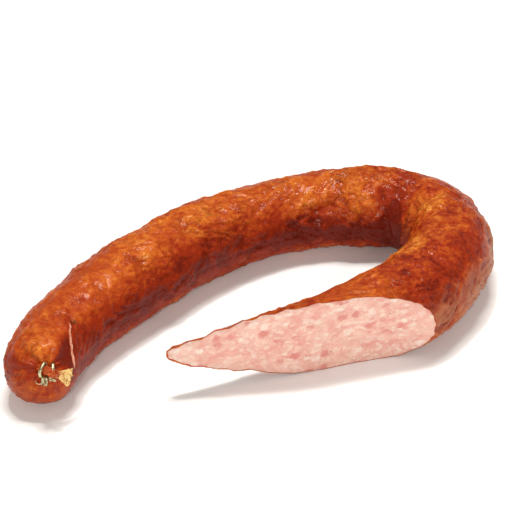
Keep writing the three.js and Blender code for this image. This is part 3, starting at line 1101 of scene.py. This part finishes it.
# The line of the fold, from the pole.
GATHER = [(6.2, -0.7, 2.2), (7.8, 0.5, 1.0), (9.0, 1.9, -0.4), (9.1, 3.2, -1.4), (7.4, 5.0, -1.9)]
GATHER_SHARE = 0.1  # well before the neck's colour turns pale


def build_gather():
    """The fold of gathered casing that lies over the lower half of the outer clip."""
    shares = np.linspace(0, 1, 50)
    angles = circle(36)

    def section(share):
        size = 0.5 + 1.35 * math.sin(math.pi * min(0.08 + 0.9 * share, 1)) ** 0.8
        ribs = 0.15 * np.cos(5 * angles + 6 * share) + 0.09 * np.cos(9 * angles - 11 * share + 1)
        ring = size * (1 + ribs)
        return oval(angles, ring, 0.8 * ring)

    share = np.full(len(shares) * len(angles) + 2, GATHER_SHARE)
    return swept("tie_gather", pole_path(GATHER), shares, section, POLE_UP, TAIL, {"share": share})


LEAVES, STRANDS = 24, 12
LEAF_HALF_THICKNESS, STRAND_HALF_THICKNESS = 0.13, 0.09
STRAND_HALF_WIDTH = 0.12


def build_tail():
    """The frayed end: crumpled leaves of casing and stray strands, all thin closed solids."""
    points, faces, shares = [], [], []
    random = np.random.default_rng(7)
    start = NECK_LINE.point(0.6)
    forward = NECK_LINE.tangent(0.72)
    side = square_to(forward, POLE_UP)
    across = np.cross(forward, side)
    steps, columns = 12, 8
    for k in range(LEAVES + STRANDS):
        strand = k >= LEAVES
        spread = random.uniform(-1, 1)
        length = random.uniform(8.0, 10.5) if strand else random.uniform(6.4, 9.0)
        half = STRAND_HALF_WIDTH if strand else random.uniform(0.7, 1.4)
        thick = STRAND_HALF_THICKNESS if strand else LEAF_HALF_THICKNESS
        curl, lift = random.uniform(-0.6, 0.6, 2)
        turn = random.uniform(-0.7, 0.7)
        base = len(points)
        for r in range(steps + 1):
            t = r / steps
            middle = start + forward * length * t * (1 - 0.1 * spread**2)
            middle = middle + side * (spread * (1.0 + 2.9 * t) + curl * t * t)
            middle = middle + across * (lift * (0.6 + 0.5 * t) + 0.35 * math.sin(6 * t + 5 * turn) * t)
            width = half * (0.55 + 0.75 * t) * (1 - 0.7 * max(0, t - 0.85) / 0.15)
            angle = turn + 0.8 * t * curl
            wide = side * math.cos(angle) + across * math.sin(angle)
            deep = across * math.cos(angle) - side * math.sin(angle)
            for c in range(columns):
                a = 2 * math.pi * c / columns
                points.append(middle + wide * width * math.cos(a) + deep * thick * math.sin(a))
                shares.append(0.3 if strand else 0.66 + 0.34 * t)
        faces += grid_faces(steps + 1, columns, base)
        faces.append(tuple(base + c for c in range(columns))[::-1])
        faces.append(tuple(base + steps * columns + c for c in range(columns)))
    return add_mesh("frayed_tail", np.array(points), faces, TAIL, {"share": shares}, 40)


WIRE_GAP = 0.1  # between a clip's two ends


def build_clip(name, node):
    """A wire loop round the neck, whose two pressed ends lie side by side below it."""
    share, lean, tilt, drop, ends = CLIPS[node]
    forward = unit(mix(NECK_LINE.tangent(share), POLE_SIDE, lean))
    up = square_to(forward, POLE_UP)
    across = np.cross(forward, up)
    c, d = cos_sin(tilt)
    forward, up = (way * c + np.cross(across, way) * d for way in (forward, up))
    middle = NECK_LINE.point(share) - up * drop
    tall, wide = LOOP_HALF_HEIGHT, LOOP_HALF_WIDTH
    bar = tall - wide
    apart = 2 * WIRE_RADIUS + WIRE_GAP
    spots = [
        # across the neck, up, along it
        (-0.8, -tall - ends, 0.6 + apart),
        (-0.8, -tall + 0.4, 0.4 + apart),
        (-wide * 0.8, -bar - 1.1, 0.7),
        (-wide, 0, 0),
        (-wide * 0.8, bar + 0.7, 0),
        (0, tall, 0),
        (wide * 0.8, bar + 0.7, 0),
        (wide, 0, 0),
        (wide * 0.75, -bar - 1.2, -0.1),
        (-0.5, -tall + 0.3, 0.2),
        (-0.8, -tall - ends, 0.6),
    ]
    path = Path([middle + across * a + up * u + forward * f for a, u, f in spots])
    angles = circle(16)

    def section(t):
        pressed = 0.9 - 0.1 * math.cos(34 * t) ** 8 - 0.2 * float(smooth((abs(t - 0.5) - 0.34) / 0.06))
        return oval(angles, WIRE_RADIUS * min(1.05, 1.9 - pressed), WIRE_RADIUS * pressed)

    return swept(name, path, np.linspace(0, 1, 100), section, forward, WIRE)


CURL = [(1.9, -0.9, -3.3), (1.7, -1.5, -5.0), (1.4, -2.9, -6.6), (1.2, -4.2, -6.4), (1.1, -5.1, -5.1)]
CURL_RADIUS = 0.34


def build_curl():
    """The thin curled scrap of wire beside the inner clip."""
    ring = oval(circle(10), CURL_RADIUS, CURL_RADIUS)
    shares = np.linspace(0, 1, 40)
    return swept("clip_curl", pole_path(CURL), shares, lambda t: ring * (1 - 0.5 * t), POLE_OUT, WIRE)


KNOB_AT = np.array([19.0]), np.array([35.0])  # along and around
KNOB_RINGS = 9


def build_knob():
    """The small dark knob of casing where the crest ends."""
    place = skin(*KNOB_AT)[0][0]
    out = unit(place - centre(KNOB_AT[0])[1][0])
    side = unit(np.cross(out, [0, 1.0, 0]))
    across = np.cross(out, side)
    angle = circle(20)
    rows = []
    for r in range(1, KNOB_RINGS):
        polar = math.pi * r / KNOB_RINGS
        lump = 1 + 0.16 * np.sin(3 * angle + 4 * polar) + 0.1 * np.sin(5 * angle - 3 * polar)
        flat = np.sin(polar) * lump
        ring = place + out * (1.15 * math.cos(polar) + 0.25)
        ring = ring + np.outer(flat * np.cos(angle) * 1.45, side)
        rows.append(ring + np.outer(flat * np.sin(angle) * 1.15, across))
    ends = place + out * 1.4, place - out * 0.9
    material = scrap_material("dark_knob", rgb(104, 42, 16), rgb(158, 80, 34), 0.5)
    return tube_mesh("casing_knob", np.array(rows)[:, ::-1], ends, material)


# The pleat's line on the skin, along and around.
PLEAT_LINE = np.array([(15.5, 33), (12.0, 38), (7.0, 47), (1.0, 57), (-3.5, 68), (-6.5, 80)])
PLEAT_HALF_WIDTH, PLEAT_HEIGHT = 0.55, 0.9


def build_pleat():
    """The thin pleat that runs from the knob down beside the frayed end, painted pale as a highlight
    along its crest.
    """
    t = np.linspace(0, 1, 70)
    knots = np.linspace(0, 1, len(PLEAT_LINE))
    s, a = (np.interp(t, knots, values) for values in PLEAT_LINE.T)
    foot, _ = skin(s, a)
    out = foot - centre(s)[1]
    out /= np.linalg.norm(out, axis=1)[:, None]
    rows = []
    angles = circle(10)
    for k, share in enumerate(t):
        tangent = foot[min(k + 1, len(t) - 1)] - foot[max(k - 1, 0)]
        wide = unit(np.cross(tangent, out[k]))
        ends = smooth(share * 7) * smooth((1 - share) * 7)
        wobble = 0.25 * math.sin(9 * share) + 0.12 * math.sin(31 * share)
        half = PLEAT_HALF_WIDTH * (0.35 + 0.65 * ends)
        tall = PLEAT_HEIGHT * (0.2 + 0.8 * ends)
        across, up = half * np.cos(angles) + wobble, tall * np.sin(angles)
        rows.append(foot[k] + (np.outer(across, wide) + np.outer(up, out[k])))
    # painted highlight: the pleat's pale colours stand for light along its crest
    material = scrap_material("pleat_painted_highlight", rgb(190, 112, 88), rgb(226, 172, 146), 0.34)
    return tube_mesh("casing_pleat", np.array(rows), (foot[0], foot[-1]), material)


casing = build_casing()
meat = build_meat()
neck = build_neck()
gather = build_gather()
tail = build_tail()
clip_inner = build_clip("clip_wire_inner", "clip_inner")
clip_outer = build_clip("clip_wire_outer", "clip_outer")
curl = build_curl()
knob = build_knob()
pleat = build_pleat()

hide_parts("casing")
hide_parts("filling")
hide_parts("clip_inner")
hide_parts("clip_outer")
for piece in (casing, meat, neck, gather, tail, clip_inner, clip_outer, curl, knob, pleat):
    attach(piece, "root")


# -------- floor, light and camera
FLOOR_HALF = 6.0
FLOOR_COLOUR = (0.92, 0.95, 0.99, 1)
LIGHT_COLOUR = (1.0, 0.95, 0.87)
SKY = {"Color": (1.0, 0.93, 0.84, 1), "Strength": 0.32}
SOFT, SMALL = (0.6, 0.5), (0.14, 0.14)  # the lights' sizes in metres
# Each light: name, place, size and watts. The small ones make the glints.
LIGHTS = [
    ("top", (0.1, 0.45, 2.15), SOFT, 29.0),
    ("top_sparkle", (-0.25, 0.3, 2.1), SMALL, 12.0),
    ("front", (0.3, -2.0, 1.15), SOFT, 14.0),
    ("front_sparkle", (-0.15, -1.8, 1.4), SMALL, 9.0),
]
CAMERA_AT = (-0.001488, -0.779827, 0.583175)
CAMERA_DOWN = 35  # degrees that it looks down
CAMERA_LENS = 125.958


def build_floor():
    corners = [(x * FLOOR_HALF, y * FLOOR_HALF, 0) for x, y in ((-1, -1), (1, -1), (1, 1), (-1, 1))]
    n = Nodes("floor")
    n.set(Base_Color=FLOOR_COLOUR, Roughness=0.9, Specular_IOR_Level=0.1)
    mesh = bpy.data.meshes.new("floor")
    mesh.from_pydata(corners, [], [(0, 1, 2, 3)])
    mesh.materials.append(n.material)
    made = add_object("floor", mesh)


def build_light(name, place, size, watts):
    """A lamp that shines at the origin."""
    data = bpy.data.lights.new(name, "AREA")
    data.shape = "RECTANGLE"
    data.size, data.size_y = size
    data.energy = watts
    data.color = LIGHT_COLOUR
    made = add_object(name, data)
    made.location = place
    made.rotation_euler = (-Vector(place)).to_track_quat("-Z", "Y").to_euler()


def build_world():
    world = bpy.data.worlds.new("studio")
    world.use_nodes = True
    background = world.node_tree.nodes["Background"]
    for key, value in SKY.items():
        background.inputs[key].default_value = value
    bpy.context.scene.world = world


def build_camera():
    data = bpy.data.cameras.new("camera")
    data.lens = CAMERA_LENS
    data.sensor_width = 36
    data.clip_start, data.clip_end = 0.05, 50
    made = add_object("camera", data)
    made.location = CAMERA_AT
    made.rotation_euler = (math.radians(90 - CAMERA_DOWN), 0, 0)
    bpy.context.scene.camera = made


build_floor()
for light in LIGHTS:
    build_light(*light)
build_world()
build_camera()
bpy.context.scene.view_settings.view_transform = "Standard"
